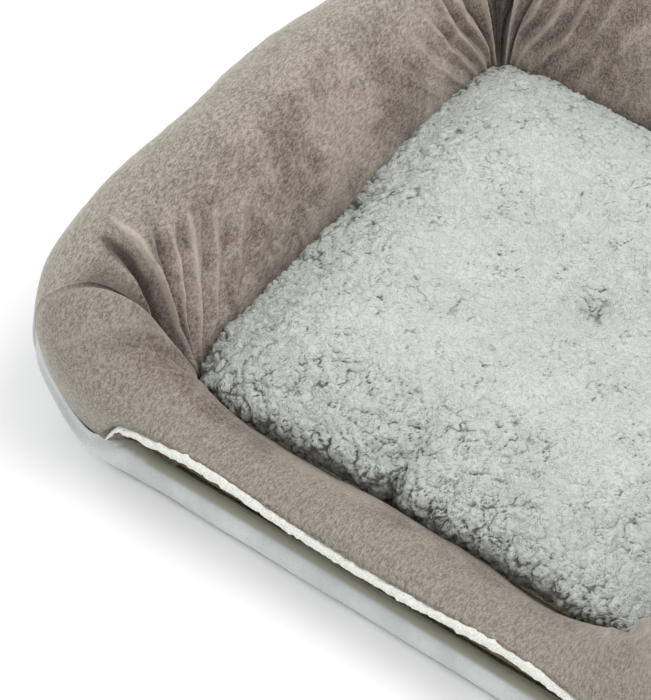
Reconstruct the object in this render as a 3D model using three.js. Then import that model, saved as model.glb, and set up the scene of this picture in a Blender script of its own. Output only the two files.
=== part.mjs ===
// Square pet bed: a stuffed velvet nest pressed down into the base of a cave, whose mouth shows as
// a slot along the front, and a loose fleece cushion on the nest floor.
// Millimetres. +X is the right of someone facing the mouth, +Y the back, +Z up, z = 0 the floor.
import * as THREE from "three";

// Driving dimensions
const NEST_HALF = 170; // half of the square nest floor, from the middle to the foot of a wall
const NEST_FLOOR = 28; // height of the nest floor
const WALL_OUT = 94; // how far the side and back walls stand out from the nest edge
const FRONT_OUT = 72; // how far the front wall stands out at its two corners
const WALL_TOP = 163; // crest of the side and back walls
const FRONT_TOP = 66; // crest of the front wall at its middle, where the pet steps in
const CORNER_TOP = 138; // bottom of the sewn valley across each corner
const SEAM_HEIGHT = 92; // seam between velvet and plush on the outside
const LIP_HEIGHT = 60; // upper edge of the mouth
const SILL_HEIGHT = 30; // lower edge of the mouth
const MOUTH_END_HEIGHT = 39; // where the two edges of the mouth meet
const BASE_OUT = 62; // how far the foot of the outside stands out from the nest edge
const BASE_RADIUS = 45; // plan corner radius at the floor
const PANEL_FOOT = 1.5; // height of the lower edge of the outside panels
const WALL_RADIUS = 62; // plan corner radius at the widest height
const VELVET = 2.5; // thickness of the velvet with its wadding
const PLUSH = 2.2; // thickness of the light plush
const LINING = 1; // thickness of the cave lining
const GAP = 0.4; // clearance between touching pieces
const CUSHION_HALF = 168;
const CUSHION_SEAM = 45; // height of the seam round the cushion
const CUSHION_RISE = 31; // crown of the cushion above its seam
const CUSHION_COVER = 3; // thickness of the fleece
const TUFT_DEPTH = 24; // how far the stitch in the middle pulls the crown down
const TUFT_AT = [10, 14]; // the stitch stands a little off the middle

// Places along one side, as a share of the way from its middle (0) to its corner mitre (1)
const ARC_START = 0.75; // the corner arc takes the last quarter
const MOUTH_END = 0.72;
const STRAIGHT_PLACES = [0, 0.1875, 0.375, 0.5625, 0.69, ARC_START]; // one end of the mouth is at 0.69
const ARC_STATIONS = 4;
const MITRE_TRIM = 0.6; // degrees of corner arc left open at each mitre of the covers
const SEAM_FOLD = 2.2; // the front plush is folded this far below the velvet's edge
const BOLSTER_TRIM = 3; // and of the bolsters inside them
const BOLSTER_GAP = 1.2; // clearance between a bolster and its cover
const VELVET_STEPS = 12; // a cover and the bolster under it share their steps, so they stay parallel
const PLUSH_STEPS = 5;

const materials = {
  velvet: { color: 0x9a8c82, roughness: 0.9 },
  plush: { color: 0xc9ccc9, roughness: 0.95 },
  fleece: { color: 0xd3d6d1, roughness: 1 },
  lining: { color: 0x8d8b7c, roughness: 0.9 },
  ticking: { color: 0xe6e4de, roughness: 0.9 },
  foam: { color: 0xe9e2c8, roughness: 1 },
  fibre: { color: 0xf2f1ee, roughness: 1 },
  grip: { color: 0x4c4c4c, roughness: 0.8 },
  thread: { color: 0xb4b6b1, roughness: 0.8 },
};

// The rails that the velvet runs over, from the nest floor to the outside seam. Each gives
// [distance out from the nest edge, height] at the middle of a side wall, at a corner (where out
// is the front wall's, because the other walls lean out further) and at the middle of the front.
const velvetRails = [
  { side: [2, NEST_FLOOR], corner: [2, NEST_FLOOR], front: [2, NEST_FLOOR], radius: 14 },
  { side: [8, 62], corner: [7, 58], front: [7, 36], radius: 18 },
  { side: [20, 106], corner: [16, 92], front: [14, 45], radius: 26 },
  { side: [38, 144], corner: [29, 122], front: [22, 54], radius: 36 },
  { side: [61, WALL_TOP], corner: [46, CORNER_TOP], front: [34, 62], radius: 48 },
  { side: [82, 151], corner: [62, 131], front: [47, FRONT_TOP], radius: 56 },
  { side: [WALL_OUT, 121], corner: [FRONT_OUT, 114], front: [59, 65], radius: WALL_RADIUS },
  { side: [92, SEAM_HEIGHT], corner: [71, SEAM_HEIGHT], front: [67, LIP_HEIGHT], radius: 61 },
];

// The rails of the light plush outside, from the seam down to the floor
const plushRails = [
  { side: [92, SEAM_HEIGHT - GAP], corner: [71, SEAM_HEIGHT - GAP], radius: 61 },
  { side: [88, 68], corner: [71, 68], radius: 58 },
  { side: [79, 36], corner: [70, 36], radius: 53 },
  { side: [69, 10], corner: [66, 10], radius: 48 },
  { side: [BASE_OUT, PANEL_FOOT], corner: [BASE_OUT, PANEL_FOOT], radius: BASE_RADIUS },
];

// The plush of the front rolls over the sill of the mouth, and at the corners it reaches the seam.
// Its heights are shares of the sill's height at that place.
const frontPlushRails = [
  { side: [92], corner: [71, 1], front: [54, 0.67], radius: 61 },
  { side: [92], corner: [71.2, 0.95], front: [54.5, 0.9], radius: 61 },
  { side: [91], corner: [71.4, 0.88], front: [60, 1], radius: 60 },
  { side: [88], corner: [71, 0.72], front: [65.5, 0.9], radius: 58 },
  { side: [79], corner: [70, 0.38], front: [67, 0.5], radius: 53 },
  { side: [BASE_OUT], corner: [BASE_OUT, 0], front: [BASE_OUT, 0], radius: BASE_RADIUS },
];

// How a side lies in plan: the directions along it and out of the nest
const sides = {
  front: { along: [1, 0], out: [0, -1] },
  right: { along: [0, 1], out: [1, 0] },
  back: { along: [-1, 0], out: [0, 1] },
  left: { along: [0, -1], out: [-1, 0] },
};

const lerp = THREE.MathUtils.lerp;
const smooth = (value, low, high) => THREE.MathUtils.smoothstep(value, low, high);

// 0 in the middle part of a side, rising to 1 at its mitres
const cornerShare = (place) => smooth(place, 0.42, 0.96);
const frontShare = (place) => smooth(place, 0.48, 1); // the low front wall climbs later
const outShare = (place) => smooth(place, 0.42, ARC_START); // how far it has moved out to the corner

// The edge of the velvet along the front: the lip of the mouth, then the seam up to the corner
function frontSeamHeight(place) {
  const mouth = lerp(LIP_HEIGHT, MOUTH_END_HEIGHT, smooth(place, 0.64, MOUTH_END));
  return lerp(mouth, SEAM_HEIGHT, smooth(place, MOUTH_END + 0.02, 1));
}

// The top edge of the front plush: the sill of the mouth, then just under the velvet
function sillHeight(place) {
  const sill = lerp(SILL_HEIGHT, MOUTH_END_HEIGHT - SEAM_FOLD, smooth(place, 0.57, MOUTH_END));
  return place < MOUTH_END ? sill : frontSeamHeight(place) - SEAM_FOLD;
}

// The stations of one side: a sign for the half, the share of the way to the mitre, and the angle
// turned into the corner arc
function stations(trim = MITRE_TRIM) {
  const half = STRAIGHT_PLACES.map((place) => ({ place, turn: 0 }));
  for (let i = 1; i <= ARC_STATIONS; i += 1) {
    const turn = ((45 - trim) * i) / ARC_STATIONS;
    half.push({ place: ARC_START + ((1 - ARC_START) * turn) / 45, turn });
  }
  const mirrored = half.slice(1).reverse();
  return [
    ...mirrored.map((station) => ({ ...station, sign: -1 })),
    ...half.map((station) => ({ ...station, sign: 1 })),
  ];
}

// One rail's point at one station of a side
function railPoint(rail, sideName, station) {
  const { sign, place, turn } = station;
  const isFront = sideName === "front";
  const share = (rail.share ?? cornerShare)(place);
  const middle = isFront ? rail.front : rail.side;
  const cornerOut = isFront ? rail.corner[0] : rail.side[0];
  // the side wall's first end is at the back on the left wall and at the front on the right wall
  const meetsFront = (sideName === "left" && sign > 0) || (sideName === "right" && sign < 0);
  const neighbourOut = meetsFront ? rail.corner[0] : rail.side[0];
  const angle = THREE.MathUtils.degToRad(turn);
  const straight = NEST_HALF + neighbourOut - rail.radius;
  const along = straight * Math.min(place / ARC_START, 1) + rail.radius * Math.sin(angle);
  const outAtPlace = lerp(middle[0], cornerOut, (rail.outShare ?? outShare)(place));
  const out = NEST_HALF + outAtPlace - rail.radius * (1 - Math.cos(angle));
  const height = rail.height ? rail.height(place) : lerp(middle[1], rail.corner[1], share);
  const side = sides[sideName];
  return new THREE.Vector3(
    side.along[0] * sign * along + side.out[0] * out,
    side.along[1] * sign * along + side.out[1] * out,
    height,
  );
}

// The surface over a set of rails on one side: for each station, a smooth section of points
function railSurface(rails, sideName, steps, trim) {
  return stations(trim).map((station) => {
    const points = rails.map((rail) => railPoint(rail, sideName, station));
    return new THREE.CatmullRomCurve3(points, false, "centripetal").getPoints(steps);
  });
}

// The same surface moved inwards, into the wall, by a distance
function offsetSurface(surface, distance) {
  const last = surface.length - 1;
  return surface.map((section, i) =>
    section.map((point, k) => {
      const before = surface[Math.max(i - 1, 0)][k];
      const after = surface[Math.min(i + 1, last)][k];
      const alongSide = after.clone().sub(before);
      const down = section[Math.max(k - 1, 0)];
      const up = section[Math.min(k + 1, section.length - 1)];
      const overSection = up.clone().sub(down);
      const inwards = alongSide.cross(overSection).normalize();
      // keeps each section in its own vertical plane, so that neighbours still meet at the mitre
      const plane = sectionNormal(section);
      inwards.addScaledVector(plane, -inwards.dot(plane)).normalize();
      return point.clone().addScaledVector(inwards, distance);
    }),
  );
}

// The horizontal direction square to a section's vertical plane
function sectionNormal(section) {
  const across = section[section.length - 1].clone().sub(section[0]).setZ(0).normalize();
  return new THREE.Vector3(-across.y, across.x, 0);
}

// A closed body through a row of equal loops. The row either has two capped ends or joins itself.
function bodyThroughLoops(loops, joined = false) {
  const count = loops[0].length;
  const positions = loops.flatMap((loop) => loop.flatMap((point) => point.toArray()));
  const faces = [];
  const bands = joined ? loops.length : loops.length - 1;
  for (let i = 0; i < bands; i += 1) {
    const here = i * count;
    const next = ((i + 1) % loops.length) * count;
    for (let k = 0; k < count; k += 1) {
      const onward = (k + 1) % count;
      faces.push([here + k, next + k, next + onward], [here + k, next + onward, here + onward]);
    }
  }
  if (!joined) {
    const cap = capFaces(loops[0]);
    const start = (loops.length - 1) * count;
    const lastCap = capFaces(loops[loops.length - 1]);
    faces.push(...cap, ...lastCap.map(([a, b, c]) => [start + c, start + b, start + a]));
  }
  const volume = faces.reduce((sum, face) => sum + cornerVolume(positions, face), 0);
  const outward = volume > 0 ? faces : faces.map(([a, b, c]) => [a, c, b]);
  const geometry = new THREE.BufferGeometry();
  geometry.setAttribute("position", new THREE.Float32BufferAttribute(positions, 3));
  geometry.setIndex(outward.flat());
  geometry.computeVertexNormals();
  return geometry;
}

// Triangles that close a loop lying in one vertical plane, facing back along the row
function capFaces(loop) {
  const first = loop[0];
  const far = loop.reduce((a, b) => (flatDistance(first, b) > flatDistance(first, a) ? b : a));
  const across = far.clone().sub(first).setZ(0).normalize();
  const outline = loop.map((point) => new THREE.Vector2(point.clone().sub(first).dot(across), point.z));
  const triangles = THREE.ShapeUtils.triangulateShape(outline, []);
  // earcut may return either winding, so each triangle takes the loop's own
  const loopArea = THREE.ShapeUtils.area(outline);
  return triangles.map(([a, b, c]) => {
    const area = THREE.ShapeUtils.area([outline[a], outline[b], outline[c]]);
    return area * loopArea > 0 ? [a, b, c] : [a, c, b];
  });
}

const flatDistance = (a, b) => Math.hypot(a.x - b.x, a.y - b.y);

function cornerVolume(positions, [a, b, c]) {
  const [p, q, r] = [a, b, c].map((index) => new THREE.Vector3().fromArray(positions, 3 * index));
  return p.dot(q.cross(r)) / 6;
}

// A cover of even thickness over a surface
function cover(surface, thickness) {
  const inner = offsetSurface(surface, thickness);
  return bodyThroughLoops(surface.map((section, i) => [...section, ...inner[i].toReversed()]));
}

// A level sheet with a rounded square outline
function sheet(half, radius, low, thickness, frontHalf = half) {
  const shape = new THREE.Shape();
  shape.moveTo(half - radius, -frontHalf);
  shape.absarc(half - radius, radius - frontHalf, radius, -Math.PI / 2, 0, false);
  shape.absarc(half - radius, half - radius, radius, 0, Math.PI / 2, false);
  shape.absarc(radius - half, half - radius, radius, Math.PI / 2, Math.PI, false);
  shape.absarc(radius - half, radius - frontHalf, radius, Math.PI, 1.5 * Math.PI, false);
  const options = { depth: thickness, bevelEnabled: false, curveSegments: 6 };
  return new THREE.ExtrudeGeometry(shape, options).translate(0, 0, low);
}

const bed = new THREE.Group();

function add(name, geometry, materialName) {
  const { color, roughness } = materials[materialName];
  const material = new THREE.MeshStandardMaterial({ color, roughness, metalness: 0 });
  const mesh = new THREE.Mesh(geometry, material);
  mesh.name = name;
  bed.add(mesh);
}

// Base: grip sheet on the floor, foam on it, and the floor lining of the cave
const BASE_HALF = NEST_HALF + 56;
const LINING_LOW = 11.4;
add("base_grip_sheet", sheet(BASE_HALF, BASE_RADIUS - 5, 0, 1.2), "grip");
add("base_foam", sheet(BASE_HALF, BASE_RADIUS - 5, 1.5, 9.5), "foam");
add("cave_floor_lining", sheet(BASE_HALF - 2, BASE_RADIUS - 7, LINING_LOW, LINING, NEST_HALF + 40), "lining");

// Nest floor: lining below, foam, and the velvet panel that the cushion lies on
const NEST_PANEL = NEST_HALF - 2;
add("nest_floor_lining", sheet(NEST_PANEL, 12, 13, LINING), "lining");
add("nest_floor_foam", sheet(NEST_PANEL, 12, 14.4, 11.2), "foam");
add("nest_floor_panel", sheet(NEST_HALF - 1, 12, 26, 1.7), "velvet");

// Side and back walls: velvet over a stuffed bolster, light plush outside
const WALL_FOOT = 13; // the bolsters stand on the cave floor lining

// The surface of a bolster under a cover
const insideOf = (rails, sideName, steps, thickness) =>
  offsetSurface(railSurface(rails, sideName, steps, BOLSTER_TRIM), thickness + BOLSTER_GAP);

// The two lower edges of a bolster's section: under its outside and under its nest side
function bolsterFoot(section, outerPoint) {
  const heel = outerPoint.clone().lerp(section[0], 0.14).setZ(WALL_FOOT);
  return [heel, section[0].clone().lerp(heel, 0.1).setZ(WALL_FOOT)];
}

for (const sideName of ["left", "back", "right"]) {
  const velvet = railSurface(velvetRails, sideName, VELVET_STEPS);
  add(`wall_cover_${sideName}`, cover(velvet, VELVET), "velvet");

  const plush = railSurface(plushRails, sideName, PLUSH_STEPS);
  add(`outer_panel_${sideName}`, cover(plush, PLUSH), "plush");

  const inside = insideOf(velvetRails, sideName, VELVET_STEPS, VELVET);
  const outside = insideOf(plushRails, sideName, PLUSH_STEPS, PLUSH);
  const loops = inside.map((section, i) => {
    const down = outside[i].slice(1, -1);
    return [...section, ...down, ...bolsterFoot(section, down.at(-1))];
  });
  add(`wall_bolster_${sideName}`, bodyThroughLoops(loops), "fibre");
}

// Front wall: the velvet ends at the lip of the mouth, and the plush at its sill
const frontVelvetRails = velvetRails
  .with(-1, { ...velvetRails.at(-1), height: frontSeamHeight })
  .map((rail) => ({ ...rail, share: frontShare }));
const frontVelvet = railSurface(frontVelvetRails, "front", VELVET_STEPS);
add("front_wall_cover", cover(frontVelvet, VELVET), "velvet");

const sillShare = (place) => smooth(place, 0.57, MOUTH_END + 0.02);
const sillOutShare = (place) => smooth(place, 0.63, ARC_START);
const sillRails = frontPlushRails.map((rail) => {
  const lift = (place) => lerp(rail.front[1], rail.corner[1], sillShare(place));
  const height = (place) => PANEL_FOOT + (sillHeight(place) - PANEL_FOOT) * lift(place);
  return { ...rail, height, share: sillShare, outShare: sillOutShare };
});
const SILL_STEPS = 10;
const frontPlush = railSurface(sillRails, "front", SILL_STEPS);
add("front_outer_panel", cover(frontPlush, PLUSH), "plush");

// Bolster of the front wall. Between the ends of the mouth its underside is the mouth's roof,
// which slopes down to the nest floor. At the two corners it stands on the base.
// [share of the way from the nest to the lip, height]
const MOUTH_ROOF = [[0.95, 56], [0.87, 52], [0.74, 46], [0.55, 39], [0.14, 27.5]];
const SEAM_ALLOWANCE = 1.2; // room for the turned-in seam edges at the ends of the mouth
const MOUTH_CLOSES = [MOUTH_END - 0.02, MOUTH_END + 0.08];
const frontInside = insideOf(frontVelvetRails, "front", VELVET_STEPS, VELVET + 1.5 * SEAM_ALLOWANCE);
const frontOutside = insideOf(sillRails, "front", SILL_STEPS, PLUSH + 2 * SEAM_ALLOWANCE);
const frontPlaces = stations(BOLSTER_TRIM).map(({ place }) => place);

function mouthRoof(section, lift = 0) {
  const lip = section.at(-1);
  return MOUTH_ROOF.map(([share, z]) => section[0].clone().lerp(lip, share).setZ(z + lift));
}

const frontLoops = frontInside.map((section, i) => {
  const closed = smooth(frontPlaces[i], ...MOUTH_CLOSES);
  const [upper, lower] = [frontOutside[i][6], frontOutside[i][8]];
  const standing = [section.at(-1), upper, lower, ...bolsterFoot(section, lower)];
  const underside = mouthRoof(section).map((point, k) => point.lerp(standing[k], closed));
  return [...section.slice(0, -1), ...underside];
});
add("front_wall_bolster", bodyThroughLoops(frontLoops), "fibre");

// Roof lining of the mouth, under the front bolster between the ends of the mouth
const roofLoops = frontInside
  .filter((_, i) => frontPlaces[i] < MOUTH_CLOSES[0])
  .map((section) => [
    ...mouthRoof(section, -GAP),
    ...mouthRoof(section, -GAP - LINING).reverse(),
  ]);
add("mouth_roof_lining", bodyThroughLoops(roofLoops), "lining");

// Plush binding folded over the lip of the mouth
const BINDING_SIZE = 3.4; // half of its height at the middle
const BINDING_DROP = 2.2; // it hangs clear of the velvet's folded edge
const bindingLoops = stations()
  .filter(({ place }) => place < MOUTH_END - 0.02)
  .map((station) => {
    const lip = railPoint(frontVelvetRails.at(-1), "front", station);
    const size = BINDING_SIZE * (1 - 0.6 * (station.place / MOUTH_END) ** 4);
    return Array.from({ length: 8 }, (_, k) => {
      const angle = (k * Math.PI) / 4;
      const out = size * Math.cos(angle);
      const up = size * Math.sin(angle) - size - BINDING_DROP;
      return lip.clone().add(new THREE.Vector3(0, -out, up));
    });
  });
add("mouth_binding", bodyThroughLoops(bindingLoops), "plush");

// Foam bar inside the sill of the mouth
const SILL_SECTION = [[44, 12.9], [60, 12.9], [62, 15], [60.5, 20.5], [58.5, 24], [56, 17]];
const SILL_FOAM_HALF = 150;
const sillLoops = [-1, 1].map((run) =>
  SILL_SECTION.map(([out, z]) => new THREE.Vector3(run * SILL_FOAM_HALF, -NEST_HALF - out, z)),
);
add("sill_foam", bodyThroughLoops(sillLoops), "foam");

// Cushion: fleece top and ticking underside round a fibre fill, pulled in by one stitch
const CUSHION_ROUNDS = 32;
const STITCH_HOLE = 2;
const CUSHION_FOOT = NEST_FLOOR + GAP;
const CROWN_SHARES = [0.05, 0.12, 0.2, 0.32, 0.48, 0.66, 0.82, 0.92, 0.98, 1];

// The cushion's rounded square edge, seen from its middle
function cushionEdge(angle) {
  const power = 10;
  const [x, y] = [Math.cos(angle), Math.sin(angle)];
  const reach = CUSHION_HALF / (Math.abs(x) ** power + Math.abs(y) ** power) ** (1 / power);
  return new THREE.Vector2(reach * x, reach * y);
}

const crown = (share) => {
  const dome = CUSHION_RISE * Math.sqrt(1 - share ** 5);
  return CUSHION_SEAM + dome - TUFT_DEPTH * Math.exp(-((share / 0.2) ** 2));
};

// A body of loops round the stitch. section gives [share of the way to the edge, height] pairs.
function cushionBody(section) {
  const stitchAt = new THREE.Vector2(...TUFT_AT);
  const loops = Array.from({ length: CUSHION_ROUNDS }, (_, i) => {
    const spoke = cushionEdge((2 * Math.PI * i) / CUSHION_ROUNDS).sub(stitchAt);
    const length = spoke.length();
    return section.map(([share, z]) => {
      const distance = STITCH_HOLE + share * (length - STITCH_HOLE);
      const at = spoke.clone().multiplyScalar(distance / length).add(stitchAt);
      return new THREE.Vector3(at.x, at.y, z);
    });
  });
  return bodyThroughLoops(loops, true);
}

const crownLine = (drop, reach = 1) =>
  [0, ...CROWN_SHARES].map((share) => [share * reach, crown(share) - drop]);
const COVER_REACH = (CUSHION_HALF - CUSHION_COVER) / CUSHION_HALF;
const fleeceSection = [...crownLine(0), ...crownLine(CUSHION_COVER, COVER_REACH).reverse()];
add("cushion_top", cushionBody(fleeceSection), "fleece");

const TICKING = 1.6;
const underLine = (lift, reach) => [
  [0, CUSHION_FOOT + 3 + lift],
  [0.06, CUSHION_FOOT + lift],
  [0.9 * reach, CUSHION_FOOT + lift],
  [reach, CUSHION_SEAM - 4 - CUSHION_COVER + lift / 2],
];
const tickingSection = [...underLine(0, 1), ...underLine(TICKING, COVER_REACH).reverse()];
add("cushion_underside", cushionBody(tickingSection), "ticking");

const FILL_REACH = 0.965;
const fillSection = [
  ...crownLine(CUSHION_COVER + GAP, FILL_REACH),
  ...underLine(TICKING + GAP, FILL_REACH).reverse(),
];
add("cushion_fill", cushionBody(fillSection), "fibre");

// The stitch: a thread through the cushion with a knot in the dimple and one underneath
const stitchTop = crown(0);
const stitchProfile = [
  [0, CUSHION_FOOT + 0.4],
  [4, CUSHION_FOOT + 0.8],
  [1.4, CUSHION_FOOT + 2],
  [1.4, stitchTop + 1],
  [4.5, stitchTop + 2.2],
  [3.5, stitchTop + 4],
  [0, stitchTop + 4.6],
].map(([radius, z]) => new THREE.Vector2(radius, z));
const stitch = new THREE.LatheGeometry(stitchProfile, 10).rotateX(Math.PI / 2);
add("cushion_stitch", stitch.translate(TUFT_AT[0], TUFT_AT[1], 0), "thread");

// The bed stands with the middle of its outer box over the origin
const box = new THREE.Box3().setFromObject(bed, true);
bed.position.y = -(box.min.y + box.max.y) / 2;

export default bed;
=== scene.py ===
import math

import bmesh
import bpy
import numpy as np
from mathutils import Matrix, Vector


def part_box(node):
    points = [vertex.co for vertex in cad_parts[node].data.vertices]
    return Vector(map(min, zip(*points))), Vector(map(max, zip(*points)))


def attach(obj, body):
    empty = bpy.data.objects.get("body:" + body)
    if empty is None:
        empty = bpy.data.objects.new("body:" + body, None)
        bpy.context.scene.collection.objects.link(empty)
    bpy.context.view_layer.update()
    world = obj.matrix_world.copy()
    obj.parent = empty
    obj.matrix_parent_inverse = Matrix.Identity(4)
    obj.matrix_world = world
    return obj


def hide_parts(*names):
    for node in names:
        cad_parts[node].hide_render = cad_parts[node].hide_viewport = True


# Square pet bed: a stuffed velvet nest with a fleece cushion, and the mouth of a cave along the front.
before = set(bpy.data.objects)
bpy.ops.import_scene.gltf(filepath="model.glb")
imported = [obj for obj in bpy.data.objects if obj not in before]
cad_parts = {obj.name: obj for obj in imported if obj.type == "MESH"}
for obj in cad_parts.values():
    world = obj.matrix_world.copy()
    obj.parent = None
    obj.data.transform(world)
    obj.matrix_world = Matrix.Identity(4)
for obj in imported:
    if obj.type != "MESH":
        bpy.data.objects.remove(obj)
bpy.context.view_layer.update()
bpy.ops.object.select_all(action="DESELECT")

MM = 0.001
panel_low, panel_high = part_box("nest_floor_panel")
NEST = (panel_low + panel_high) / 2  # the middle of the nest floor
NEST.z = 0

# Driving sizes, in millimetres
NEST_HALF = 170
SEAM_HEIGHT = 92  # where the velvet meets the plush outside
LIP_HEIGHT = 60  # upper edge of the mouth, at its middle
SILL_HEIGHT = 30  # lower edge of the mouth
MOUTH_END_HEIGHT = 39  # where the two edges meet
PANEL_FOOT = 1.5
PLUSH = 2.2  # thickness of the plush
SEAM_FOLD = 2.2  # the front plush is folded this far below the velvet's edge
CUSHION_HALF = 173
CUSHION_FOOT = 28.6
TUFT_AT = (10, 16)

# Places along a side, as shares of the way from its middle to its mitre
ARC_START = 0.75
MOUTH_END = 0.71

# Rails that the velvet runs over, from the nest floor to the outside seam: how far out and how high
# at the middle of a side, at a corner and at the middle of the front, and the plan radius there
VELVET_RAILS = (
    ((2, 28), (2, 28), (2, 28), 14),
    ((8, 62), (7, 58), (7, 36), 18),
    ((20, 106), (16, 92), (14, 45), 26),
    ((38, 144), (29, 122), (22, 54), 36),
    ((61, 163), (46, 138), (34, 62), 48),
    ((82, 151), (62, 131), (47, 66), 56),
    ((94, 121), (72, 114), (59, 65), 62),
    ((92, 92), (71, 92), (67, 60), 61),
)
PLUSH_RAILS = (
    ((92, 91.6), (71, 91.6), None, 61),
    ((88, 68), (76, 70), None, 58),
    ((79, 36), (71, 36), None, 53),
    ((69, 10), (64, 10), None, 48),
    ((62, 1.5), (62, 1.5), None, 45),
)
# The front plush rolls over the sill; its heights are shares of the sill's height at that place
FRONT_PLUSH_RAILS = (
    ((92, 0), (71, 1), (54, 0.67), 61),
    ((92, 0), (71.2, 0.95), (54.5, 0.9), 61),
    ((91, 0), (71.4, 0.88), (60, 1), 60),
    ((88, 0), (76, 0.74), (65.5, 0.9), 58),
    ((79, 0), (71, 0.38), (67, 0.5), 53),
    ((62, 0), (62, 0), (62, 0), 45),
)
SIDES = {
    "front": ((1, 0), (0, -1)),
    "right": ((0, 1), (1, 0)),
    "back": ((-1, 0), (0, 1)),
    "left": ((0, -1), (-1, 0)),
}


# ---------------------------------------------------------------- small sums

def smooth(value, low, high):
    share = np.clip((np.asarray(value, float) - low) / (high - low), 0, 1)
    return share * share * (3 - 2 * share)


def lerp(a, b, share):
    return a + (b - a) * share


def bell(distance, width):
    return np.exp(-((distance / width) ** 2))


def lattice(cells, seed):
    """A number from 0 to 1 for each whole-numbered cell, the same on every run."""
    x, y, z = (cells[..., i].astype(np.int64) for i in range(3))
    mixed = (x * 374761393 + y * 668265263 + z * 2147483647 + seed * 974634777) & 0xFFFFFFFF
    mixed = ((mixed ^ (mixed >> 13)) * 1274126177) & 0xFFFFFFFF
    mixed = ((mixed ^ (mixed >> 15)) * 2246822519) & 0xFFFFFFFF
    return ((mixed ^ (mixed >> 16)) & 0xFFFFFF) / float(0xFFFFFF)


def drift(points, size, seed):
    """Soft random rise and fall between about -1 and 1, over distances of about size."""
    scaled = points / size
    base = np.floor(scaled)
    part = scaled - base
    ease = part * part * part * (part * (part * 6 - 15) + 10)
    total = np.zeros(points.shape[:-1])
    for corner in np.ndindex(2, 2, 2):
        weight = np.ones(points.shape[:-1])
        slope = np.zeros(points.shape[:-1])
        for axis in range(3):
            weight *= ease[..., axis] if corner[axis] else 1 - ease[..., axis]
            way = lattice(base + np.array(corner), seed * 7 + axis) * 2 - 1
            slope += way * (part[..., axis] - corner[axis])
        total += weight * slope
    return np.clip(total * 1.9, -1, 1)


# ---------------------------------------------------------------- finishes

class Value:
    """A socket on its way through a finish, with the sums that a maker writes."""

    def __init__(self, finish, socket):
        self.finish = finish
        self.socket = socket

    def sum(self, operation, *others):
        return self.finish.node("ShaderNodeMath", {"operation": operation}, dict(enumerate(others)))

    def __add__(self, other):
        return self.sum("ADD", self, other)

    def __sub__(self, other):
        return self.sum("SUBTRACT", self, other)

    def __mul__(self, other):
        return self.sum("MULTIPLY", self, other)

    def size(self):
        return self.sum("ABSOLUTE", self)

    def __rsub__(self, other):
        return self.sum("SUBTRACT", other, self)

    __radd__ = __add__
    __rmul__ = __mul__


class Finish:
    """One material and the nodes in it."""

    def __init__(self, name):
        self.material = bpy.data.materials.new(name)
        self.material.use_nodes = True
        self.tree = self.material.node_tree
        self.tree.nodes.clear()

    def node(self, kind, settings=None, sockets=None, output=0):
        made = self.tree.nodes.new(kind)
        for name, setting in (settings or {}).items():
            if name == "stops":
                self.set_stops(made.color_ramp, setting)
            else:
                setattr(made, name, setting)
        for name, value in (sockets or {}).items():
            socket = made.inputs[name]
            if isinstance(value, Value):
                self.tree.links.new(value.socket, socket)
            else:
                socket.default_value = value
        return Value(self, made.outputs[output])

    def set_stops(self, ramp, stops):
        for _ in stops[2:]:
            ramp.elements.new(0.5)
        for element, (place, colour) in zip(ramp.elements, stops):
            element.position = place
            element.color = colour

    def place(self):
        return self.node("ShaderNodeTexCoord", output="Object")

    def stretched(self, turn, scale):
        return self.node("ShaderNodeMapping", sockets={
            "Vector": self.place(), "Rotation": turn, "Scale": scale})

    def noise(self, scale, detail=2.0, roughness=0.5, at=None, distortion=0.0):
        return self.node("ShaderNodeTexNoise", sockets={
            "Vector": at or self.place(), "Scale": scale, "Detail": detail,
            "Roughness": roughness, "Distortion": distortion})

    def attribute(self, name):
        return self.node("ShaderNodeAttribute", {"attribute_name": name}, output="Fac")

    def ranged(self, value, low, high, to_low=0.0, to_high=1.0):
        return self.node("ShaderNodeMapRange", {"interpolation_type": "SMOOTHSTEP"}, {
            "Value": value, "From Min": low, "From Max": high, "To Min": to_low, "To Max": to_high})

    def blend(self, share, first, second):
        return self.node("ShaderNodeMix", {"data_type": "RGBA"}, {
            0: share, 6: first, 7: second}, output=2)

    def bump(self, height, distance, strength=1.0, under=None):
        sockets = {"Height": height, "Distance": distance, "Strength": strength}
        if under:
            sockets["Normal"] = under
        return self.node("ShaderNodeBump", sockets=sockets)

    def surface(self, **sockets):
        named = {name.replace("_", " "): value for name, value in sockets.items()}
        shader = self.node("ShaderNodeBsdfPrincipled", sockets=named)
        self.node_out(shader)
        return self.material

    def node_out(self, shader):
        out = self.tree.nodes.new("ShaderNodeOutputMaterial")
        self.tree.links.new(shader.socket, out.inputs["Surface"])


def shade(red, green, blue):
    """A colour given as 0 to 255, made linear."""
    made = []
    for level in (red, green, blue):
        level = level / 255
        made.append(level / 12.92 if level <= 0.04045 else ((level + 0.055) / 1.055) ** 2.4)
    return (*made, 1.0)


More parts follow.
